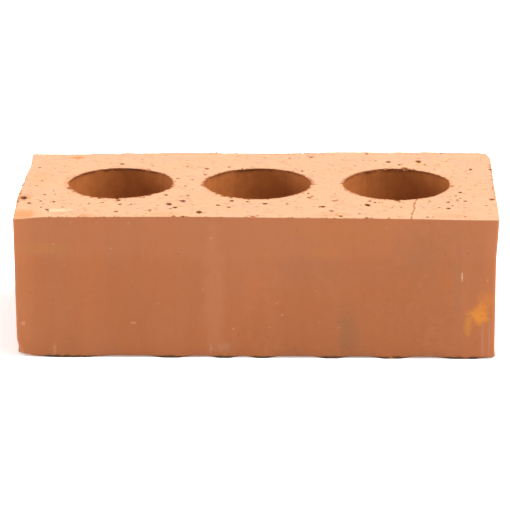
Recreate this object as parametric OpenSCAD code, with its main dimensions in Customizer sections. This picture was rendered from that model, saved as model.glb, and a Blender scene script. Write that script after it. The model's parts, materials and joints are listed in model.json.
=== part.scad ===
// Wire-cut clay brick with a row of round perforations.
//
// Stiff clay is pushed upwards through a die, which forms the four upright faces, their
// rounded arrises and the perforations in one section. Taut wires then cut the column into
// bricks, so the two beds are cut faces and their arrises are almost sharp. The brick is
// fired as one piece and lies on its lower bed.
//
// X runs along the brick, Y from its front face to its back face and Z from bed to bed.
// The origin is the middle of the lower bed.

/* [Brick] */
// Length, from end to end
brick_length = 215; // [180:1:300]
// Width of the bed, from front face to back face
brick_width = 102.5; // [80:0.5:150]
// Height, from bed to bed
brick_height = 65; // [40:1:120]

/* [Arrises] */
// Radius that the corners of the die leave on the four upright arrises
upright_arris = 1.5; // [1:0.5:10]
// Bevel worn on the arrises of the two cut beds
bed_arris = 0.6; // [0.2:0.1:0.9]

/* [Perforations] */
// Number of holes in the row
hole_count = 3; // [1:1:3]
// Diameter of each hole
hole_diameter = 49; // [20:0.5:60]
// Clay left between two neighbouring holes
hole_web = 14.25; // [5:0.25:30]
// How far the row of holes sits behind the middle of the bed
hole_row_offset = 1.5; // [-5:0.5:5]

/* [Hidden] */
clay_colour = "#c0764e";
// Distance between the centres of neighbouring holes
hole_pitch = hole_diameter + hole_web;
// How far the cutting cylinders run past each bed
overrun = 1;
$fn = 96;

// Outline of a block seen square on, its length by its height, with all four corners bevelled.
module bevelled_outline(length, height, bevel) {
    half = length / 2;
    polygon([
        [-half + bevel, 0], [half - bevel, 0],
        [half, bevel], [half, height - bevel],
        [half - bevel, height], [-half + bevel, height],
        [-half, height - bevel], [-half, bevel]
    ]);
}

// Slab of the given thickness along Y, centred on Y = 0, with the bevelled outline in XZ.
module bevelled_slab(length, thickness, height, bevel)
    translate([0, thickness / 2, 0])
        rotate([90, 0, 0])
            linear_extrude(thickness)
                bevelled_outline(length, height, bevel);

// One rounded upright arris: a post whose two ends are bevelled like the beds.
module arris_post(radius, height, bevel)
    rotate_extrude()
        intersection() {
            bevelled_outline(2 * radius, height, bevel);
            square([radius, height]);
        }

// The uncut clay: a slab along each of the two directions, and a post in each corner.
module clay_block() {
    inner_length = brick_length - 2 * upright_arris;
    inner_width = brick_width - 2 * upright_arris;
    bevelled_slab(brick_length, inner_width, brick_height, bed_arris);
    rotate([0, 0, 90])
        bevelled_slab(brick_width, inner_length, brick_height, bed_arris);
    for (x = [-1, 1] * inner_length / 2, y = [-1, 1] * inner_width / 2)
        translate([x, y, 0])
            arris_post(upright_arris, brick_height, bed_arris);
}

// The row of holes, from below the lower bed to above the upper one.
module perforations()
    for (i = [0 : hole_count - 1])
        translate([(i - (hole_count - 1) / 2) * hole_pitch, hole_row_offset, -overrun])
            cylinder(d = hole_diameter, h = brick_height + 2 * overrun);

module brick()
    color(clay_colour)
        difference() {
            clay_block();
            perforations();
        }

brick();
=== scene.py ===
import json
import math

import bmesh
import bpy
from mathutils import Matrix, Vector


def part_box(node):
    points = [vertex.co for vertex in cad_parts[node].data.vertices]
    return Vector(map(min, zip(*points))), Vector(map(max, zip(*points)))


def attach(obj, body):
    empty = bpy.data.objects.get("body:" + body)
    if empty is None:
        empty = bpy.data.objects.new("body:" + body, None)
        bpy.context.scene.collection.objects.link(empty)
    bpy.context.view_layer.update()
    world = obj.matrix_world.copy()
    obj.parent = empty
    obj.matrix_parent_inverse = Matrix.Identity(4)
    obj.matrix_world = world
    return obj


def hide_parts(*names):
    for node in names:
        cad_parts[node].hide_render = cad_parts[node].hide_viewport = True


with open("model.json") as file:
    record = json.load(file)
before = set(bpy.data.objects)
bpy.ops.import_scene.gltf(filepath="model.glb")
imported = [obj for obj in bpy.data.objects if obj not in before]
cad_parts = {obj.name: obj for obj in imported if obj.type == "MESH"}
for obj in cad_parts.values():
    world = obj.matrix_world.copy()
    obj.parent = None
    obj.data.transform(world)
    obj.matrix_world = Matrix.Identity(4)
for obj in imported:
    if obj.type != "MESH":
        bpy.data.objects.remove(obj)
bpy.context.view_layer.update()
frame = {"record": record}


# The clay column. Stiff red clay is pressed upwards through a steel die, which leaves four
# smooth faces and four close upright arrises. Taut wires then part it into bricks, so the two
# beds are flat cuts with nearly sharp arrises.

mm = 0.001
low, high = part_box("brick")
length, width, height = high - low
upright_arris = 1.5 * mm
bed_arris = 0.6 * mm
clay_grain = 0.6 * mm
arris_zone = 2.4 * mm


def feed(tree, socket, value):
    """Puts a number, a name, a material or the result of another node into a socket."""
    value = getattr(value, "socket", value)
    if isinstance(value, bpy.types.NodeSocket):
        tree.links.new(value, socket)
    elif socket.type in ("VECTOR", "ROTATION") and isinstance(value, (int, float)):
        socket.default_value = (value, value, value)
    else:
        socket.default_value = value


def add(tree, kind, *values, result=0, **settings):
    """Adds one node with its settings and its first inputs, and gives one of its results."""
    node = tree.nodes.new(kind)
    inputs = settings.pop("inputs", {})
    for name, setting in settings.items():
        setattr(node, name, setting)
    for socket, value in zip(node.inputs, values):
        feed(tree, socket, value)
    for name, value in inputs.items():
        feed(tree, node.inputs[name], value)
    return Field(tree, node.outputs[result])


class Field:
    """What a node gives for every point of the clay, so that a rule reads as arithmetic."""

    def __init__(self, tree, socket):
        self.tree = tree
        self.socket = socket

    def work(self, operation, *others):
        """One step of arithmetic, on vectors if any of the values is one."""
        values = (self, *others)
        sockets = [value.socket for value in values if isinstance(value, Field)]
        on_vectors = any(socket.type == "VECTOR" for socket in sockets)
        on_vectors = on_vectors or any(isinstance(value, tuple) for value in values)
        kind = "ShaderNodeVectorMath" if on_vectors else "ShaderNodeMath"
        return add(self.tree, kind, *values, operation=operation)

    def __add__(self, other):
        return self.work("ADD", other)

    def __sub__(self, other):
        return self.work("SUBTRACT", other)

    def __mul__(self, other):
        return self.work("MULTIPLY", other)

    def __truediv__(self, other):
        return self.work("DIVIDE", other)

    __radd__ = __add__
    __rmul__ = __mul__

    def __rsub__(self, other):
        return self * -1.0 + other

    def at_most(self, other):
        return self.work("MINIMUM", other)

    def at_least(self, other):
        return self.work("MAXIMUM", other)

    def size(self):
        return self.work("ABSOLUTE")

    def sign(self):
        return self.work("SIGN")

    def length(self):
        return add(self.tree, "ShaderNodeVectorMath", self, operation="LENGTH", result=1)

    def parts(self):
        """The X, Y and Z of a vector."""
        node = self.tree.nodes.new("ShaderNodeSeparateXYZ")
        feed(self.tree, node.inputs[0], self)
        return [Field(self.tree, socket) for socket in node.outputs]

    def ramp(self, start, end):
        """Rises smoothly from 0 where the value is start to 1 where it is end."""
        return add(
            self.tree, "ShaderNodeMapRange", self, start, end, interpolation_type="SMOOTHSTEP"
        )


def vector(tree, x, y, z):
    """A vector put together from three numbers."""
    return add(tree, "ShaderNodeCombineXYZ", x, y, z)


def blotches(tree, place, size, detail=2.0, roughness=0.5):
    """Soft random blotches of about the given size, from -1 to 1."""
    noise = add(
        tree, "ShaderNodeTexNoise", inputs={
            "Vector": place / size, "Scale": 1.0, "Detail": detail, "Roughness": roughness
        }
    )
    # The noise itself keeps within about 0.1 to 0.9.
    return (noise - 0.5) * 2.6


class Recipe:
    """A geometry node tree with named sizes, which works on the clay as a modifier."""

    def __init__(self, name, **sizes):
        self.name = name
        self.tree = bpy.data.node_groups.new(name, "GeometryNodeTree")
        self.sizes = sizes
        sockets = self.tree.interface
        sockets.new_socket("Clay", in_out="OUTPUT", socket_type="NodeSocketGeometry")
        sockets.new_socket("Clay", in_out="INPUT", socket_type="NodeSocketGeometry")
        kinds = {
            float: "NodeSocketFloat",
            int: "NodeSocketInt",
            bpy.types.Material: "NodeSocketMaterial",
            bpy.types.Object: "NodeSocketObject",
        }
        self.keys = {
            size: sockets.new_socket(
                size.replace("_", " "), in_out="INPUT", socket_type=kinds[type(value)]
            ).identifier
            for size, value in sizes.items()
        }
        source = self.tree.nodes.new("NodeGroupInput")
        self.clay = Field(self.tree, source.outputs[0])
        for number, size in enumerate(sizes, start=1):
            setattr(self, size, Field(self.tree, source.outputs[number]))

    def add(self, kind, *values, **settings):
        return add(self.tree, kind, *values, **settings)

    def position(self):
        return self.add("GeometryNodeInputPosition")

    def vector(self, x, y, z):
        return vector(self.tree, x, y, z)

    def blotches(self, *how):
        return blotches(self.tree, *how)

    def named(self, attribute):
        """Reads a number that an earlier step of the making stored on the clay."""
        return self.add("GeometryNodeInputNamedAttribute", attribute, data_type="FLOAT")

    def store(self, clay, attribute, value):
        return self.add(
            "GeometryNodeStoreNamedAttribute", clay, data_type="FLOAT", domain="POINT",
            inputs={"Name": attribute, "Value": value},
        )

    def move(self, clay, offset):
        return self.add("GeometryNodeSetPosition", clay, inputs={"Offset": offset})

    def finish(self, clay):
        """Realizes the instances, gives the clay its material and closes the tree."""
        solid = self.add("GeometryNodeRealizeInstances", clay)
        done = self.add("GeometryNodeSetMaterial", solid, inputs={"Material": self.Finish})
        self.tree.links.new(done.socket, self.tree.nodes.new("NodeGroupOutput").inputs[0])

    def work_on(self, piece):
        """Adds the recipe to the piece as a modifier, with its sizes set."""
        modifier = piece.modifiers.new(self.name, "NODES")
        modifier.node_group = self.tree
        for size, key in self.keys.items():
            modifier[key] = self.sizes[size]


fired_clay = bpy.data.materials.new("fired_clay")
column = Recipe(
    "clay_column",
    Length=float(length),
    Width=float(width),
    Height=float(height),
    Upright_arris=upright_arris,
    Bed_arris=bed_arris,
    Grain=clay_grain,
    Gathering=0.42,
    Finish=fired_clay,
)
size = column.vector(column.Length, column.Width, column.Height)
rows_x, rows_y, rows_z = (size / column.Grain).parts()
block = column.add(
    "GeometryNodeMeshCube", size,
    inputs={"Vertices X": rows_x, "Vertices Y": rows_y, "Vertices Z": rows_z},
)
# The rows of points lie closer together towards the arrises, where the detail is.
swing = (column.position() / size * (2 * math.pi)).work("SINE")
gathered = column.position() + size * swing * (column.Gathering / (2 * math.pi))
x, y, z = gathered.parts()
# How far each point lies into the outermost band, as wide as the arris's radius, and which way
# out is there: in the corners this turns the square plan into a quarter round.
inner_x, inner_y, _ = (size * 0.5 - column.Upright_arris).parts()
core_x = x.at_most(inner_x).at_least(inner_x * -1.0)
core_y = y.at_most(inner_y).at_least(inner_y * -1.0)
off_core = column.vector(x - core_x, y - core_y, 0.0)
out_x, out_y, _ = off_core.parts()
reach = out_x.size().at_least(out_y.size())
way_out = off_core.work("NORMALIZE")
# The same rule in the section through the bed's arris rounds it off.
flat_reach = column.Upright_arris - column.Bed_arris
flat_half = column.Height * 0.5 - column.Bed_arris
to_side = (reach - flat_reach).at_least(0.0)
to_bed = (z.size() - flat_half).at_least(0.0)
rounding = to_side.at_least(to_bed) / column.vector(to_side, to_bed, 0.0).length()
level = z.sign() * (z.size().at_most(flat_half) + to_bed * rounding) + column.Height * 0.5
plan = column.vector(core_x, core_y, level)
placed = plan + way_out * (reach.at_most(flat_reach) + to_side * rounding)
# What the later steps need to know: which skin this is, and how near the cut arris runs.
from_ends = column.Length * 0.5 - x.size()
from_long_faces = column.Width * 0.5 - y.size()
from_arris = from_ends.at_most(from_long_faces) + (column.Height * 0.5 - z.size())
block = column.store(block, "wire_cut", to_bed / (to_side + to_bed))
block = column.store(block, "near_arris", from_arris.ramp(arris_zone, 0.0))
# This value is 0 where the skin is whole, 1 in bare torn clay, and 2 in the painted shade along
# the foot of the front face.
block = column.store(block, "torn", 0.0)
block = column.add(
    "GeometryNodeStoreNamedAttribute", block, data_type="FLOAT_VECTOR", domain="POINT",
    inputs={"Name": "way_out", "Value": way_out},
)
block = column.store(block, "bore", 0.0)
block = column.add("GeometryNodeSetPosition", block, inputs={"Position": placed})
column.finish(block)

brick = bpy.data.objects.new("clay_brick", bpy.data.meshes.new("clay_brick"))
bpy.context.scene.collection.objects.link(brick)
column.work_on(brick)


# Drying and handling. The green brick leans and sags a little as it dries: the ends spread
# towards the upper bed, the bed twists, and the corners that it is lifted by are pressed in.

swell = 1.0 * mm
made_height = float(height + swell)

handling = Recipe(
    "drying_and_handling",
    Height=float(height),
    Swell=swell,
    Left_flare=0.35 * mm,
    Right_flare=0.85 * mm,
    Foot_draw=0.3 * mm,
    Finish=fired_clay,
)


def in_mm(numbers):
    """Turns a row of numbers in millimetres into lengths."""
    return tuple(number * mm for number in numbers)


presses = [
    # The middle of each press, how far it reaches and which way it moves the clay, all in
    # millimetres along X, Y and Z
    ((-30, -51, 66), 75, (0, 0, 0.5)),
    ((105, -55, 66), 55, (0, 0, -0.75)),
    ((-108, -54, 66), 15, (0, 0, -1.1)),
    ((-95, 55, 66), 50, (0, 0, -0.8)),
    ((50, 60, 66), 50, (0, 0.3, 0.8)),
    ((90, 58, 66), 40, (0, 0.2, 0.7)),
    ((-28, 60, 66), 26, (0, 0.3, 0.35)),
    ((-108, -20, 65), 24, (-0.7, 0, 0)),
    ((-108, 32, 65), 22, (0.75, 0, 0)),
    ((108, -30, 65), 36, (0.45, 0, 0)),
    ((108, 52, 65), 10, (-1.6, -0.5, -0.3)),
    ((-108, -52, 0), 9, (2.6, 0.4, 1.2)),
    ((108, -52, 0), 6, (0.4, 0, 0)),
]
x, y, z = handling.position().parts()
left_spread = z.ramp(5 * mm, 45 * mm) * handling.Left_flare - handling.Foot_draw
right_spread = z.ramp(43 * mm, 65 * mm) * handling.Right_flare - handling.Foot_draw
to_end = 107 * mm
spread = x.ramp(0.0, -to_end) * left_spread * -1.0 + x.ramp(0.0, to_end) * right_spread
rise = z / handling.Height * handling.Swell
push = handling.vector(spread, 0.0, rise)
for middle, reach, way in presses:
    away = (handling.position() - in_mm(middle)).length()
    push = push + away.ramp(reach * mm, 0.0) * handling.vector(*in_mm(way))
handling.finish(handling.move(handling.clay, push))
handling.work_on(brick)


# The marks of the die and the wires. The die drags faint upright lines down the four faces.
# The wires scratch both beds, nibble the arrises where they enter and leave, and the soft
# lower arris is turned in where the brick was set down.

marks = Recipe(
    "die_and_wire_marks",
    Slump=0.25 * mm,
    Die_lines=0.07 * mm,
    Wire_drag=0.14 * mm,
    Crumb=0.13 * mm,
    Nibble=0.65 * mm,
    Burr=0.45 * mm,
    Foot_lift=0.3 * mm,
    Foot_tuck=1.8 * mm,
    Foot_hang=0.4 * mm,
    Torn_band=1.1 * mm,
    Width=float(width),
    Height=made_height,
    Finish=fired_clay,
)
foot_tears_and_shade = [
    # Where the clay is torn under the front face and a dark painted shade runs along its foot:
    # the middle and half the length, in millimetres
    (-84, 21), (-38, 11), (-14, 8), (3, 8), (34, 9), (61, 11), (93, 15),
]
place = marks.position()
x, y, z = place.parts()
wire_cut = marks.named("wire_cut")
near_arris = marks.named("near_arris")
# The faces are a little hollow and wavy, because the clay shrinks as it dries.
slump = marks.blotches(place, 55 * mm, 1.0) - 0.8
die_lines = marks.blotches(place * (1.0, 1.0, 0.04), 1.6 * mm, 1.0)
wire_drag = marks.blotches(place * (0.3, 1.0, 1.0), 2.4 * mm, 2.0)
crumb = marks.blotches(place, 2.2 * mm, 3.0, 0.7)
nibble = marks.blotches(place, 3.2 * mm, 3.0, 0.65).ramp(0.1, 1.1)
inset = (
    slump * marks.Slump
    + die_lines * marks.Die_lines * (1.0 - wire_cut)
    + (wire_drag * marks.Wire_drag + crumb * marks.Crumb) * wire_cut
    - nibble * marks.Nibble * near_arris
)
# The upper arrises, above all at the back, carry a low burr that the wire drew up.
to_back = y.ramp(-45 * mm, 40 * mm)
burr = marks.blotches(place, 7 * mm, 3.0, 0.6).ramp(-0.3, 1.0) * near_arris * to_back
burr = burr * z.ramp(marks.Height - 3 * mm, marks.Height) * marks.Burr
# Under the faces the clay is torn in places and hangs down; along the foot of the front face a
# dark band of painted shade is laid over it. Between the tears the arris is lifted off the
# ground and tucked in.
behind_front = y.ramp(-52 * mm, -44 * mm)
hanging = marks.blotches(marks.vector(x, y, 0.0), 36 * mm, 1.0).ramp(-0.3, 0.4) * behind_front
for middle, half in foot_tears_and_shade:
    along = (x - middle * mm).size().ramp(half * mm, half * 0.2 * mm)
    hanging = hanging + along * y.ramp(-44 * mm, -50 * mm)
hanging = hanging.at_most(1.0)
between = 1.0 - hanging
lift = z.ramp(1.5 * mm, 0.0) * near_arris * between * marks.Foot_lift
from_face = marks.Width * 0.5 - y.size()
under = from_face.ramp(6 * mm, 0.0) * z.ramp(1.8 * mm, 0.0)
tuck = y.sign() * under * between * marks.Foot_tuck * -1.0
way_out = marks.add("GeometryNodeInputNamedAttribute", "way_out", data_type="FLOAT_VECTOR")
hang = z.ramp(0.55 * mm, 0.0) * near_arris.ramp(0.3, 0.9) * hanging * marks.Foot_hang
normal = marks.add("GeometryNodeInputNormal")
off_floor = z.ramp(0.0, 2.0 * mm)
# The lower bed carries the same scratches, but nothing on it reaches below the floor.
scratched = (wire_drag * marks.Wire_drag * 0.7 + 0.05 * mm).at_least(0.0)
scratched = scratched * wire_cut * z.ramp(0.1 * mm, 0.0)
relief = normal * inset * off_floor
foot_and_burr = marks.vector(0.0, tuck, lift + burr + scratched)
moved = marks.move(marks.clay, relief + foot_and_burr + way_out * hang)
# Painted shade: a near-black band, up to the band's height, runs along the foot of the front
# face where the clay hangs.
torn = (hanging * marks.Torn_band - z).ramp(-0.15 * mm, 0.15 * mm)
moved = marks.store(moved, "torn", torn * near_arris.ramp(0.2, 0.5) * 2.0)
marks.finish(moved)
marks.work_on(brick)


# The perforations. Three steel cores in the die leave the row of round holes, which take less
# clay and let the brick dry and fire evenly. The clay closes a little over them where the wire
# passes, so a thin lip hangs at each rim.

bores = [mount for mount in frame["record"]["mounts"] if mount["kind"] == "bore"]
bores.sort(key=lambda mount: mount["pos_m"][0])
hole_radius = bores[0]["dims"]["r_mm"] * mm
hole_pitch = bores[1]["pos_m"][0] - bores[0]["pos_m"][0]
hole_row = bores[0]["pos_m"][1]
hole_sizes = {
    "Count": len(bores),
    "Radius": float(hole_radius),
    "Pitch": float(hole_pitch),
    "Row": float(hole_row),
    "Squeeze": 1.1 * mm,
}

perforations = Recipe(
    "perforations",
    **hole_sizes,
    Height=made_height,
    Overrun=3.0 * mm,
    Facets=320,
    Core_lines=0.05 * mm,
    Core_play=0.25 * mm,
    Rim_tear=0.4 * mm,
    Lip=0.6 * mm,
    Rim_wave=0.5 * mm,
    Finish=fired_clay,
)


def row_of_holes(recipe, instance, level):
    """Puts one of the given shape on the axis of each hole, at the given height."""
    first = (recipe.Count - 1.0) * recipe.Pitch * -0.5
    axes = recipe.add(
        "GeometryNodeMeshLine",
        inputs={
            "Count": recipe.Count,
            "Start Location": recipe.vector(first, recipe.Row, level),
            "Offset": recipe.vector(recipe.Pitch, 0.0, 0.0),
        },
    )
    placed = recipe.add("GeometryNodeInstanceOnPoints", axes, inputs={"Instance": instance})
    return recipe.add("GeometryNodeRealizeInstances", placed)


def carve(recipe, *cutters, operation="DIFFERENCE"):
    """Takes the cutters off the clay, or joins them to it, and leaves it closed."""
    node = recipe.add(
        "GeometryNodeMeshBoolean", recipe.clay, operation=operation, solver="MANIFOLD"
    ).socket.node
    if operation == "UNION":
        recipe.tree.links.new(recipe.clay.socket, node.inputs["Mesh 2"])
    for cutter in cutters:
        recipe.tree.links.new(cutter.socket, node.inputs["Mesh 2"])
    return Field(recipe.tree, node.outputs[0])


depth = perforations.Height + perforations.Overrun * 2.0
core = perforations.add(
    "GeometryNodeMeshCylinder",
    inputs={
        "Vertices": perforations.Facets,
        "Side Segments": depth / clay_grain,
        "Radius": perforations.Radius,
        "Depth": depth,
    },
)
cores = row_of_holes(perforations, core, perforations.Height * 0.5)
place = perforations.position()
x, y, z = place.parts()
# The cores run past the beds, so a point counts as on the rim a little before it gets there.
early = 0.2 * mm
from_bed = (z + early).at_most(perforations.Height + early - z).at_least(0.0)
# The wires tear the rims most where they leave the holes, at the back.
leaving = y.ramp(perforations.Row, perforations.Row + perforations.Radius)
rim = from_bed.ramp(arris_zone, 0.0)
lip = perforations.blotches(place, 12 * mm, 2.0).ramp(-0.8, 0.5)
lip = from_bed.ramp(1.8 * mm, 0.7 * mm) * lip
tear = perforations.blotches(place * (1.0, 1.0, 0.6), 2.2 * mm, 3.0, 0.7)
play = perforations.blotches(place * (1.0, 1.0, 0.5), 26 * mm, 1.0)
core_lines = perforations.blotches(place * (1.0, 1.0, 0.03), 2.2 * mm, 2.0)
grow = (
    core_lines * perforations.Core_lines
    + play * perforations.Core_play
    + tear * rim * (leaving + 1.0) * perforations.Rim_tear
    + perforations.blotches(place, 7 * mm, 2.0) * rim * perforations.Rim_wave
    + (0.35 - lip) * perforations.Lip
)
normal = perforations.add("GeometryNodeInputNormal")
# The clay has crept in against the far side of the left-hand core.
creep_start = -77 * mm
creep_full = -88 * mm
squeeze = x.ramp(creep_start, creep_full) * perforations.Squeeze
outwards = normal * perforations.vector(grow, grow, 0.0)
cores = perforations.move(cores, outwards + perforations.vector(squeeze, 0.0, 0.0))
cores = perforations.store(cores, "wire_cut", 0.0)
cores = perforations.store(cores, "near_arris", 0.0)
cores = perforations.store(cores, "bore", 1.0)
# Next to the rims the walls take the dark torn clay colour, in a band deeper and stronger at the
# back; the band is partly torn clay and partly painted shade under the lip.
torn_and_shaded_lip = (from_bed + tear * leaving * 0.9 * mm).ramp(leaving * mm + 1.4 * mm, 0.5 * mm)
cores = perforations.store(cores, "torn", torn_and_shaded_lip * (leaving * 0.35 + 0.55))
perforations.finish(carve(perforations, cores))
perforations.work_on(brick)


# Ragged arrises and rims. The wires pull crumbs of clay out of every arris they cross: the
# outline of each bed and the rims of the holes.

ragged = Recipe(
    "ragged_arrises",
    **hole_sizes,
    Length=float(length),
    Width=float(width),
    Height=made_height,
    Seed=3,
    Spacing=2.0 * mm,
    Bite=2.2 * mm,
    Finish=fired_clay,
)


def pebble(recipe, knobble, torn, finer=2):
    """A knobbly lump of grit, 1 m in radius, for a pit to be pressed out with."""
    ball = recipe.add("GeometryNodeMeshIcoSphere", inputs={"Radius": 1.0, "Subdivisions": finer})
    bumps = recipe.blotches(recipe.position(), 0.9, 1.0) * knobble
    return recipe.store(recipe.move(ball, recipe.position() * bumps), "torn", torn)


def chance(recipe, lowest, highest, salt):
    """A random number for each point, or a random vector if the limits are vectors."""
    if isinstance(lowest, tuple):
        return recipe.add(
            "FunctionNodeRandomValue", data_type="FLOAT_VECTOR",
            inputs={0: lowest, 1: highest, "Seed": recipe.Seed + salt},
        )
    return recipe.add(
        "FunctionNodeRandomValue", data_type="FLOAT", result=1,
        inputs={2: lowest, 3: highest, "Seed": recipe.Seed + salt},
    )


def few_large(recipe, salt):
    """A size from 0.2 to 1, of which most are small."""
    pick = chance(recipe, 0.0, 1.0, salt)
    return pick * pick * pick * 0.8 + 0.2


def along_arrises(recipe, level, spacing, jitter, salt):
    """Random points close to the outline of a bed and to the rims of the holes in it."""
    outline = recipe.add(
        "GeometryNodeCurvePrimitiveQuadrilateral",
        inputs={"Width": recipe.Length, "Height": recipe.Width},
    )
    outline = recipe.add(
        "GeometryNodeTransform", outline, inputs={"Translation": recipe.vector(0.0, 0.0, level)}
    )
    rim = recipe.add(
        "GeometryNodeCurvePrimitiveCircle", inputs={"Resolution": 256, "Radius": recipe.Radius}
    )
    rims = row_of_holes(recipe, rim, level)
    both = recipe.add("GeometryNodeJoinGeometry", rims)
    recipe.tree.links.new(outline.socket, both.socket.node.inputs[0])
    points = recipe.add(
        "GeometryNodeCurveToPoints", both, mode="LENGTH", inputs={"Length": spacing}
    )
    least = in_mm(-part for part in jitter)
    points = recipe.move(points, chance(recipe, least, in_mm(jitter), salt))
    # On the rim where the clay has crept in, the points follow it.
    x, _, _ = recipe.position().parts()
    on_rim = x.ramp(-100 * mm, -92 * mm)
    crept = x.ramp(creep_start, creep_full) * on_rim * recipe.Squeeze
    return recipe.move(points, recipe.vector(crept, 0.0, 0.0))


def pressed(recipe, points, lump, turns, shape, radius, salt):
    """Puts a lump of the given radius on each point, turned and stretched at random between
    the two limits that turns and shape hold."""
    return recipe.add(
        "GeometryNodeInstanceOnPoints", points,
        inputs={
            "Instance": lump,
            "Rotation": chance(recipe, *turns, salt),
            "Scale": chance(recipe, *shape, salt + 1) * radius,
        },
    )


upright_turns = ((0.0, 0.0, 0.0), (0.0, 0.0, 6.0))
chipped = ((0.6, 0.7, 0.35), (1.0, 1.3, 0.6))
just_clear = 0.1 * mm
chip = pebble(ragged, 0.35, 0.45)
place = ragged.position()
x, y, _ = place.parts()
clusters = ragged.blotches(place, 9 * mm, 2.0).ramp(-0.9, 0.6)
# The front arrises of the beds are crisper than the rims and the back.
past_ends = x.size() - ragged.Length * 0.5 + 1 * mm
past_faces = y.size() - ragged.Width * 0.5 + 1 * mm
on_outline = past_ends.at_least(past_faces).ramp(0.0, 0.5 * mm)
crisp = 1.0 - on_outline * y.ramp(20 * mm, -40 * mm) * 0.5
bites = []
for salt, level in ((10, ragged.Height + just_clear), (20, 0.0)):
    points = along_arrises(ragged, level, ragged.Spacing, (0.8, 0.8, 0.35), salt)
    bite_size = few_large(ragged, salt + 1) * clusters * crisp * ragged.Bite + 0.05 * mm
    bites.append(pressed(ragged, points, chip, upright_turns, chipped, bite_size, salt + 2))
ragged.finish(carve(ragged, *bites))
ragged.work_on(brick)


# Pits. The wires pull grit and roots out of the wet clay, and leave small ragged pits, drawn
# out the way the wire runs. The faces, pressed smooth by the die, have few.

large_pits = [
    # X and Y on the upper bed and the size across, all in millimetres
    (50, -31, 2.8), (-33, -27, 2.2), (86, -35, 2.5), (74, 37, 2.6), (-39, -32, 2.8),
    (-25, -44, 2.5), (-11, -26, 1.9), (-17, -33, 1.9), (30, -34, 2.0), (-102, 27, 1.8),
    (4, -30, 2.2), (-64, 33, 2.0), (-41, -18, 1.3), (25, -18, 1.3), (60, 36, 2.0),
    (-36, -37, 1.8), (92, -11, 2.0), (-102, -30, 1.6), (-31, -18, 1.2), (98, 25, 1.7),
    (94, -24, 1.7), (82, -34, 1.6), (-62, -43, 1.6), (-93, -40, 1.6), (24, 44, 1.6),
    (-62, -26, 1.6), (51, -25, 1.7), (20, 22, 1.4), (35, -25, 1.5), (-4, -27, 1.3),
    (-14, 28, 1.3), (-91, -28, 1.5), (-81, 37, 1.6), (-69, -29, 1.2), (-61, -32, 1.4),
    (-95, 26, 1.3), (-12, -36, 1.4), (-97, -27, 1.3), (61, -35, 1.2), (88, -31, 1.5),
    (71, -28, 1.3), (-30, 7, 1.2), (-90, 39, 1.3), (-105, -22, 3.0), (106, -21, 2.8),
    (102, -51, 1.8), (95, -50, 1.6), (38, -48, 1.8), (79, -48, 1.6), (85, 50, 1.5),
    (-37, 9, 1.1), (65, 32, 1.2), (-33, -3, 1.1), (-96, -17, 1.2), (-99, 5, 1.1),
    (-47, -41, 1.2), (14, 43, 1.2), (14, -30, 1.1), (92, -20, 1.3), (-101, -3, 1.1),
]
pit_mesh = bpy.data.meshes.new("large_pits")
pit_mesh.from_pydata(
    [(x * mm, y * mm, made_height + just_clear) for x, y, _ in large_pits], [], []
)
pit_sizes = pit_mesh.attributes.new("pit_size", "FLOAT", "POINT")
pit_sizes.data.foreach_set("value", [across * mm / 2 for _, _, across in large_pits])
pit_places = bpy.data.objects.new("large_pits", pit_mesh)
bpy.context.scene.collection.objects.link(pit_places)

pitting = Recipe(
    "pits",
    Large_pits=pit_places,
    Seed=7,
    Bed_spacing=1.6 * mm,
    Bed_density=11500.0,
    Bed_pit=0.7 * mm,
    Face_spacing=5 * mm,
    Face_density=160.0,
    Face_pit=0.35 * mm,
    Finish=fired_clay,
)


def scattered(recipe, selection, spacing, density, factor, salt):
    """Random points on the chosen skin of the clay, no closer than the spacing."""
    return recipe.add(
        "GeometryNodeDistributePointsOnFaces", recipe.clay, distribute_method="POISSON",
        inputs={
            "Selection": selection,
            "Distance Min": spacing,
            "Density Max": density,
            "Density Factor": factor,
            "Seed": recipe.Seed + salt,
        },
    )


wire_turns = ((0.0, 0.0, -0.5), (0.0, 0.0, 0.5))
any_turns = ((0.0, 0.0, 0.0), (6.0, 6.0, 6.0))
shallow = ((0.6, 0.8, 0.4), (1.2, 1.7, 0.8))
evenly_round = ((0.8, 0.8, 0.8), (1.4, 1.4, 1.4))
deep_and_drawn_out = ((0.7, 1.05, 0.7), (0.95, 1.6, 1.0))
wire_cut = pitting.named("wire_cut")
_, y, _ = pitting.position().parts()
crowding = pitting.blotches(pitting.position(), 20 * mm, 1.0).ramp(-0.9, 0.9)
crowding = crowding * y.ramp(50 * mm, -40 * mm) * 0.8 + 0.2
on_beds = wire_cut.work("GREATER_THAN", 0.9)
on_faces = wire_cut.work("LESS_THAN", 0.1)
bed_points = scattered(
    pitting, on_beds, pitting.Bed_spacing, pitting.Bed_density, crowding, 0
)
face_points = scattered(
    pitting, on_faces, pitting.Face_spacing, pitting.Face_density, 1.0, 4
)
known_points = pitting.add("GeometryNodeObjectInfo", pitting.Large_pits, result=4)
known_points = pitting.add("GeometryNodeMeshToPoints", known_points)
# The pebbles give each pit a share of the dark torn clay colour, more in the large pits; this
# darkness is partly painted shade for the hollows.
soft_pit = pebble(pitting, 0.4, 0.42)
dark_pit = pebble(pitting, 0.45, 0.72, finer=3)
bed_pits = pressed(
    pitting, bed_points, soft_pit, wire_turns, shallow,
    few_large(pitting, 1) * pitting.Bed_pit, 2,
)
face_pits = pressed(
    pitting, face_points, soft_pit, any_turns, evenly_round,
    few_large(pitting, 5) * pitting.Face_pit * 1.3, 6,
)
known_pits = pressed(
    pitting, known_points, dark_pit, wire_turns, deep_and_drawn_out,
    pitting.named("pit_size"), 8,
)
pitting.finish(carve(pitting, bed_pits, face_pits, known_pits))
pitting.work_on(brick)


# Crumbs and grit. Crumbs that the wire rolled along stick to the upper bed, a few dark grains
# of grit stand proud of it, and a broken row of small burrs runs along its arrises.

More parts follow.
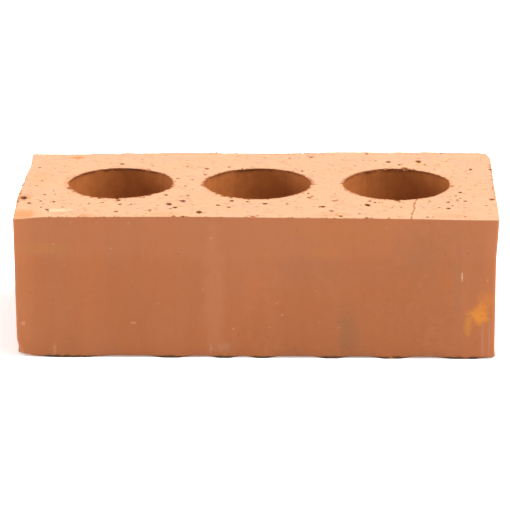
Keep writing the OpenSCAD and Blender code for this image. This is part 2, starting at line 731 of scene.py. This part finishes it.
burr_inset = 0.25 * mm
grit = Recipe(
    "crumbs_and_grit",
    **hole_sizes,
    Length=float(length - burr_inset * 2),
    Width=float(width - burr_inset * 2),
    Height=made_height,
    Seed=31,
    Spacing=2.5 * mm,
    Density=4500.0,
    Grain=0.5 * mm,
    Dark_density=900.0,
    Finish=fired_clay,
)
_, _, z = grit.position().parts()
on_bed = (grit.named("wire_cut") * z.ramp(0.0, grit.Height)).work("GREATER_THAN", 0.9)
flattened = ((0.6, 0.6, 0.4), (1.3, 1.3, 0.7))
rounded = ((0.6, 0.6, 0.6), (1.2, 1.2, 1.0))
long_and_low = ((0.7, 0.7, 0.5), (1.5, 1.3, 0.9))
soft_crumb = pebble(grit, 0.35, 0.08)
crumb_points = scattered(grit, on_bed, grit.Spacing, grit.Density, 1.0, 0)
crumb_size = few_large(grit, 1) * grit.Grain
crumbs = pressed(grit, crumb_points, soft_crumb, any_turns, flattened, crumb_size, 2)
dark_grain = pebble(grit, 0.3, 0.7)
grain_points = scattered(grit, on_bed, grit.Spacing * 2.0, grit.Dark_density, 1.0, 4)
grain_size = few_large(grit, 5) * grit.Grain
dark_grains = pressed(grit, grain_points, dark_grain, any_turns, rounded, grain_size, 6)
clusters = grit.blotches(grit.position(), 8 * mm, 2.0).ramp(-0.4, 0.8)
burr_row = along_arrises(grit, grit.Height - just_clear, grit.Spacing * 0.8, (0.3, 0.3, 0.2), 9)
burr_size = few_large(grit, 10) * clusters * 0.55 * mm + 0.1 * mm
burrs = pressed(grit, burr_row, soft_crumb, any_turns, long_and_low, burr_size, 11)
grit.finish(carve(grit, crumbs, dark_grains, burrs, operation="UNION"))
grit.work_on(brick)


# The drying crack. The bed dries faster than the clay under it and shrinks, which opens a
# hairline from the rim of the right-hand hole to the front face. Crumbs that the cuts have left
# hanging on nothing fall away.

crack_path = [
    # X and Y on the upper bed, in millimetres, from the hole to the front face
    (72.5, -21), (71.2, -25.5), (70.6, -31), (70.9, -36), (69.6, -43), (69.4, -48), (69, -53),
]
path_mesh = bpy.data.meshes.new("crack_path")
path_mesh.from_pydata(
    [(x * mm, y * mm, made_height + just_clear) for x, y in crack_path],
    [(step, step + 1) for step in range(len(crack_path) - 1)], [],
)
path = bpy.data.objects.new("crack_path", path_mesh)
bpy.context.scene.collection.objects.link(path)

crack = Recipe(
    "drying_crack",
    Path=path,
    Gape=0.08 * mm,
    Depth=0.6 * mm,
    Wander=0.1 * mm,
    Fewest_points=5000,
    Finish=fired_clay,
)
line = crack.add("GeometryNodeObjectInfo", crack.Path, result=4)
line = crack.add("GeometryNodeMeshToCurve", line)
line = crack.add("GeometryNodeResampleCurve", line, mode="LENGTH", inputs={"Length": 0.7 * mm})
wander = crack.blotches(crack.position(), 2.0 * mm, 3.0, 0.8)
line = crack.move(line, crack.vector(wander * crack.Wander, 0.0, 0.0))
line = crack.add("GeometryNodeSetCurveNormal", line, mode="Z_UP")
section = crack.add("GeometryNodeCurvePrimitiveCircle", inputs={"Resolution": 4, "Radius": 1.0})
section = crack.add(
    "GeometryNodeTransform", section,
    inputs={"Scale": crack.vector(crack.Gape * 0.5, crack.Depth, 1.0)},
)
wedge = crack.add(
    "GeometryNodeCurveToMesh", line, inputs={"Profile Curve": section, "Fill Caps": True}
)
wedge = crack.store(wedge, "torn", 0.05)
opened = carve(crack, wedge)
# The brick itself has far more points than any loose crumb.
island = crack.add("GeometryNodeInputMeshIsland")
held = crack.add("GeometryNodeAccumulateField", 1.0, data_type="FLOAT", domain="POINT", result=2)
crack.tree.links.new(island.socket, held.socket.node.inputs["Group Index"])
crack.finish(
    crack.add(
        "GeometryNodeDeleteGeometry", opened, domain="POINT",
        inputs={"Selection": held.work("LESS_THAN", crack.Fewest_points)},
    )
)
crack.work_on(brick)


# Firing. The kiln fixes the shape for good. Here all the steps above become one plain mesh,
# which is thinned to what its relief needs and stays closed.

most_triangles = 194_000
sharpest_smooth_edge = math.radians(40)


def settle(piece):
    """Turns the piece's modifiers into plain mesh, and removes them."""
    seen = piece.evaluated_get(bpy.context.evaluated_depsgraph_get())
    mesh = bpy.data.meshes.new_from_object(seen)
    piece.modifiers.clear()
    piece.data = mesh
    return mesh


mesh = settle(brick)
mesh.calc_loop_triangles()
thinning = brick.modifiers.new("thinning", "DECIMATE")
thinning.ratio = min(1.0, most_triangles / len(mesh.loop_triangles))
mesh = settle(brick)
# Thinning can leave a sliver standing on an edge like a fin; these are taken off again.
shell = bmesh.new()
shell.from_mesh(mesh)
while fins := [face for face in shell.faces if any(edge.is_boundary for edge in face.edges)]:
    bmesh.ops.delete(shell, geom=fins, context="FACES")
loose = [edge for edge in shell.edges if edge.is_wire]
bmesh.ops.delete(shell, geom=loose, context="EDGES")
shell.to_mesh(mesh)
shell.free()
for guide in (pit_places, path):
    bpy.data.objects.remove(guide)
mesh.polygons.foreach_set("use_smooth", [True] * len(mesh.polygons))
mesh.set_sharp_from_angle(angle=sharpest_smooth_edge)


# The fired clay. One body of iron-rich clay: the die's faces fire to a smooth terracotta, the
# wire-cut beds to a paler, sandier peach that is partly painted light, and the torn pits show
# dark, coarse clay that is partly painted shade.

fired_clay.use_nodes = True
clay = fired_clay.node_tree
clay.nodes.clear()
place = Field(clay, clay.nodes.new("ShaderNodeTexCoord").outputs["Object"])
x, y, z = place.parts()


def tint(first, second, amount):
    """Goes from one colour to another by an amount from 0 to 1."""
    node = clay.nodes.new("ShaderNodeMix")
    node.data_type = "RGBA"
    feed(clay, node.inputs[0], amount)
    for socket, colour in ((node.inputs[6], first), (node.inputs[7], second)):
        feed(clay, socket, (*colour, 1.0) if isinstance(colour, tuple) else colour)
    return Field(clay, node.outputs[2])


def shade(colour, amount):
    """Makes a colour lighter or darker all over, by a factor."""
    node = clay.nodes.new("ShaderNodeVectorMath")
    node.operation = "SCALE"
    feed(clay, node.inputs[0], colour)
    feed(clay, node.inputs["Scale"], amount)
    return Field(clay, node.outputs[0])


def stored(attribute):
    """Reads what the making stored on the clay."""
    node = clay.nodes.new("ShaderNodeAttribute")
    node.attribute_name = attribute
    return Field(clay, node.outputs["Fac"])


def grains(size):
    """Three random numbers from 0 to 1 for each grain of about the given size."""
    cells = add(
        clay, "ShaderNodeTexVoronoi", inputs={"Vector": place / size, "Scale": 1.0}, result=1
    )
    return cells.parts()


ragged_edge = blotches(clay, place, 3.5 * mm, 5.0, 0.75) * 0.9
streaky = blotches(clay, place, 1.5 * mm, 4.0, 0.7).ramp(-1.3, 0.4)


def patch(middle, half):
    """A soft-edged patch of the given half sizes in millimetres, 1 in the middle, 0 outside."""
    away = ((place - in_mm(middle)) / in_mm(half)).length() + ragged_edge
    return away.ramp(1.25, 0.35) * streaky


# The die's skin: broad upright bands and soft clouds, a little greyer or more ochre.
bands = blotches(clay, place * (1.0, 1.0, 0.12), 14 * mm, 3.0)
clouds = blotches(clay, place, 24 * mm, 3.0)
hue = blotches(clay, place * (1.0, 1.0, 0.4) + (0.3, 0.1, 0.7), 17 * mm, 3.0)
die_skin = tint((0.278, 0.096, 0.038), (0.298, 0.090, 0.027), hue.ramp(-0.9, 0.9))
haze = blotches(clay, place + (0.5, 0.2, 0.1), 12 * mm, 4.0, 0.65)
die_skin = tint(die_skin, (0.225, 0.094, 0.044), haze.ramp(0.0, 1.5) * 0.6)
die_skin = shade(die_skin, bands * 0.07 + clouds * 0.05 + 1.0)
# Painted light: the faces are tinted lighter above about 46 mm and a little more towards the
# top, for the light that falls more on the upper part of the face.
painted_light_top_band = z.ramp(45.5 * mm, 48.5 * mm) * 0.7 + z.ramp(48 * mm, 62 * mm) * 0.3
die_skin = tint(die_skin, (0.302, 0.104, 0.042), painted_light_top_band * 0.5)
# Painted light: the faces are made 10 % lighter near each end, for the extra light that reaches
# the face there.
painted_light_near_ends = x.size().ramp(97 * mm, 107 * mm)
die_skin = shade(die_skin, painted_light_near_ends * 0.10 + 1.0)
face_marks_and_shade = [
    # The middle and the half sizes in millimetres, both along X and Z, the colour that the clay
    # turns to and how strongly
    # The first and third rows are painted shade: broad darkening over the lower middle and the
    # left part of the front face.
    ((38, 15), (50, 24), (0.248, 0.077, 0.024), 0.5),
    ((78, 30), (11, 30), (0.243, 0.081, 0.028), 0.5),
    ((-50, 30), (36, 20), (0.260, 0.081, 0.026), 0.5),
    ((41, 13), (5, 13), (0.180, 0.082, 0.034), 0.45),
    ((100, 21), (5, 4.5), (0.48, 0.165, 0.016), 0.9),
    ((103, 27), (4, 5), (0.40, 0.130, 0.022), 0.6),
    ((95, 16), (2, 5), (0.40, 0.145, 0.022), 0.6),
    ((90, 40), (3, 30), (0.215, 0.093, 0.045), 0.35),
    ((74, 50), (14, 15), (0.222, 0.090, 0.038), 0.4),
    ((62, 33), (16, 14), (0.262, 0.080, 0.024), 0.45),
    ((38, 60), (24, 6), (0.312, 0.104, 0.027), 0.45),
    ((32, 49), (9, 3), (0.322, 0.110, 0.028), 0.45),
    ((-18.5, 30), (5.5, 40), (0.320, 0.124, 0.060), 0.45),
    ((-96, 51.5), (13, 3), (0.300, 0.125, 0.036), 0.5),
    ((35, 42), (38, 8), (0.240, 0.088, 0.038), 0.4),
    ((101.5, 8), (0.8, 10), (0.30, 0.140, 0.095), 0.5),
    ((104.5, 9), (0.7, 10), (0.30, 0.140, 0.095), 0.5),
    ((-104, 16), (1.3, 1.1), (0.42, 0.20, 0.09), 0.7),
    ((-54.5, 16.5), (1.7, 0.6), (0.42, 0.19, 0.10), 0.6),
    ((-90, 4), (0.9, 3), (0.38, 0.17, 0.085), 0.5),
    ((-20, 4), (0.5, 3), (0.38, 0.18, 0.10), 0.5),
    ((92, 39), (0.4, 2.2), (0.48, 0.31, 0.17), 0.8),
    ((-14, 5), (3, 3), (0.35, 0.165, 0.090), 0.4),
]
front_y = -51
mark_depth = 4
for (along, up), (half_along, half_up), colour, strength in face_marks_and_shade:
    mark = patch((along, front_y, up), (half_along, mark_depth, half_up))
    die_skin = tint(die_skin, colour, mark * strength)
chalk, _, chalk_pick = grains(0.8 * mm)
die_skin = tint(die_skin, (0.374, 0.196, 0.107), chalk.ramp(0.998, 0.9995) * 0.5)
die_skin = tint(die_skin, (0.178, 0.062, 0.027), chalk_pick.ramp(0.998, 0.9995) * 0.5)
fine = blotches(clay, place, 1.1 * mm, 3.0, 0.6)
cloudy = blotches(clay, place, 5 * mm, 4.0, 0.65)
die_skin = shade(die_skin, fine * 0.03 + cloudy * 0.03 + 0.985)

# The wire-cut bed: sandy, mottled with paler, pinker and more orange grains. Its pale peach is
# partly the cut clay's own colour and partly painted light for the strong overhead light on the
# upper bed.
first, second, third = grains(1.5 * mm)
pale_and_buff = blotches(clay, place, 9 * mm, 3.0).ramp(-1.0, 1.0)
sandy_and_lit = tint((0.415, 0.237, 0.145), (0.432, 0.249, 0.129), pale_and_buff)
sandy_and_lit = tint(sandy_and_lit, (0.457, 0.274, 0.141), first.ramp(0.55, 1.0) * 0.5)
sandy_and_lit = tint(sandy_and_lit, (0.415, 0.212, 0.137), second.ramp(0.6, 1.0) * 0.5)
sandy_and_lit = tint(sandy_and_lit, (0.349, 0.141, 0.058), third.ramp(0.92, 0.99) * 0.6)
drawn_out = blotches(clay, place * (0.4, 1.0, 1.0), 1.6 * mm, 4.0, 0.7)
sandy_and_lit = shade(sandy_and_lit, drawn_out * 0.05 + 1.0)
sandy_and_lit = shade(sandy_and_lit, blotches(clay, place, 14 * mm, 3.0) * 0.05 + 1.04)
ochre = blotches(clay, place + (0.2, 0.4, 0.1), 16 * mm, 3.0)
sandy_and_lit = tint(sandy_and_lit, (0.440, 0.232, 0.112), ochre.ramp(0.1, 1.2) * 0.5)
flecks = blotches(clay, place * (0.6, 1.0, 1.0) + (0.3, 0.1, 0.0), 2.2 * mm, 3.0, 0.7)
sandy_and_lit = tint(sandy_and_lit, (0.370, 0.158, 0.058), flecks.ramp(0.75, 1.15) * 0.5)
# The rims of the holes, where the cores pressed the clay, fire more orange.
outer_hole = (len(bores) - 1) / 2
nearest_hole = (x / hole_pitch).work("ROUND").at_most(outer_hole).at_least(-outer_hole)
nearest_hole = nearest_hole * hole_pitch
from_rim = (vector(clay, x - nearest_hole, y - hole_row, 0.0).length() - hole_radius).size()
sandy_and_lit = tint(sandy_and_lit, (0.415, 0.195, 0.079), from_rim.ramp(2.2 * mm, 0.0) * 0.55)
bed_marks = [
    # The same for the upper bed, along X, Y and Z
    ((-103, -46, 65), (7, 6, 4), (0.420, 0.160, 0.040), 0.8),
    ((-86, 44.5, 65), (4, 2.5, 4), (0.430, 0.140, 0.026), 0.95),
    ((-105, -22, 65), (4, 6, 4), (0.390, 0.155, 0.045), 0.8),
    ((-100, 10, 65), (5, 14, 4), (0.430, 0.215, 0.095), 0.5),
    ((74, 34, 65), (1.2, 5, 4), (0.432, 0.195, 0.050), 0.7),
    ((25, 3, 64), (1.5, 5, 4), (0.330, 0.100, 0.055), 0.7),
    ((-88, -41, 65), (8, 2.5, 4), (0.58, 0.40, 0.25), 0.8),
    ((13, 50, 65), (5, 3, 4), (0.432, 0.175, 0.075), 0.6),
    ((-75, -49, 65), (5, 4, 4), (0.415, 0.170, 0.055), 0.6),
    ((-40, -47, 65), (8, 4, 4), (0.420, 0.190, 0.075), 0.5),
    ((35, -46, 65), (9, 4, 4), (0.420, 0.190, 0.075), 0.45),
    ((88, -46, 65), (10, 4, 4), (0.420, 0.195, 0.080), 0.45),
]
for middle, half, colour, strength in bed_marks:
    sandy_and_lit = tint(sandy_and_lit, colour, patch(middle, half) * strength)

# The walls of the holes keep the wettest clay's colour, streaked by the cores.
streaks = blotches(clay, place * (1.0, 1.0, 0.06), 3.0 * mm, 3.0, 0.6)
blots = blotches(clay, place, 5 * mm, 4.0, 0.65)
mottle = (streaks * 0.3 + blots * 0.7).ramp(-1.0, 1.0)
bore_skin = tint((0.266, 0.075, 0.014), (0.386, 0.117, 0.024), mottle)

# Torn clay is coarse and brown, and darker in the large, deep pits, where it is partly painted
# shade for the hollows. The darkest colour, under the lower arris of the front face, is painted
# shade.
pit_pick, pit_tone, _ = grains(3.2 * mm)
torn_clay_and_shade = tint((0.13, 0.045, 0.015), (0.30, 0.10, 0.035), pit_pick.ramp(0.3, 0.9))
torn_clay_and_shade = tint(torn_clay_and_shade, (0.10, 0.055, 0.03), pit_tone.ramp(0.8, 0.9))

skin = tint(die_skin, sandy_and_lit, stored("wire_cut").ramp(0.3, 0.8))
skin = tint(skin, bore_skin, stored("bore").ramp(0.3, 0.8))
colour = tint(skin, torn_clay_and_shade, stored("torn").ramp(0.0, 1.0))
# Painted shade: as the value runs from 1 to 2, along the foot of the front face, the colour goes
# near black.
colour = tint(colour, (0.05, 0.024, 0.011), stored("torn").ramp(1.0, 2.0))
finish = clay.nodes.new("ShaderNodeBsdfPrincipled")
feed(clay, finish.inputs["Base Color"], colour)
feed(clay, finish.inputs["Roughness"], fine * 0.05 + 0.88)
finish.inputs["Specular IOR Level"].default_value = 0.25
tooth = blotches(clay, place, 0.7 * mm, 4.0, 0.7) * (stored("wire_cut") * 0.75 + 0.25)
bump = add(
    clay, "ShaderNodeBump", inputs={"Strength": 1.0, "Distance": 0.05 * mm, "Height": tooth}
)
feed(clay, finish.inputs["Normal"], bump)
output = clay.nodes.new("ShaderNodeOutputMaterial")
clay.links.new(finish.outputs[0], output.inputs["Surface"])

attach(brick, "root")
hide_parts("brick")


# The studio. A plain white floor under a broad, soft overhead light, and a long lens that looks
# a little down on the front face.

floor_half = 3.0
floor_mesh = bpy.data.meshes.new("floor")
corners = [(-1, -1), (1, -1), (1, 1), (-1, 1)]
floor_mesh.from_pydata(
    [(x * floor_half, y * floor_half, 0.0) for x, y in corners], [], [(0, 1, 2, 3)]
)
floor = bpy.data.objects.new("floor", floor_mesh)
bpy.context.scene.collection.objects.link(floor)
white = bpy.data.materials.new("white_floor")
white.use_nodes = True
paint = white.node_tree.nodes["Principled BSDF"]
paint.inputs["Base Color"].default_value = (0.95, 0.95, 0.95, 1.0)
paint.inputs["Roughness"].default_value = 1.0
paint.inputs["Emission Color"].default_value = (1.0, 1.0, 1.0, 1.0)
paint.inputs["Emission Strength"].default_value = 0.18
floor_mesh.materials.append(white)

world = bpy.data.worlds.new("studio")
bpy.context.scene.world = world
world.use_nodes = True
world.node_tree.nodes["Background"].inputs["Color"].default_value = (1.0, 1.0, 1.0, 1.0)
world.node_tree.nodes["Background"].inputs["Strength"].default_value = 0.96

soft_lamps = [
    # Each lamp's name, the way to it, its strength and how wide it looks, in degrees
    ("overhead", (0.64, 0.0, 0.77), 5.0, 45),
    ("low_side", (-0.99, 0.0, 0.14), 2.4, 30),
]
for name, way, strength, spread in soft_lamps:
    lamp = bpy.data.lights.new(name, "SUN")
    lamp.energy = strength
    lamp.angle = math.radians(spread)
    stand = bpy.data.objects.new(name, lamp)
    stand.rotation_euler = Vector(way).to_track_quat("Z", "Y").to_euler()
    bpy.context.scene.collection.objects.link(stand)
bpy.context.scene.view_settings.view_transform = "Standard"

turn, tilt, lean = (math.radians(angle) for angle in (1.57, 18.0, -0.267))
distance = 1550 * mm
shift_left = 1.38 * mm
shift_down = 0.5 * mm
target = Vector((0, 0, height / 2))
forward = Vector(
    (-math.sin(turn) * math.cos(tilt), math.cos(turn) * math.cos(tilt), -math.sin(tilt))
)
right = Vector((math.cos(turn), math.sin(turn), 0))
upright = right.cross(forward)
across = right * math.cos(lean) + upright * math.sin(lean)
upwards = upright * math.cos(lean) - right * math.sin(lean)
eye = target - across * shift_left - upwards * shift_down - forward * distance
lens = bpy.data.cameras.new("camera")
lens.lens = 238.0
lens.sensor_width = 36
camera = bpy.data.objects.new("camera", lens)
facing = Matrix((across, upwards, -forward)).transposed().to_4x4()
camera.matrix_world = Matrix.Translation(eye) @ facing
bpy.context.scene.collection.objects.link(camera)
bpy.context.scene.camera = camera
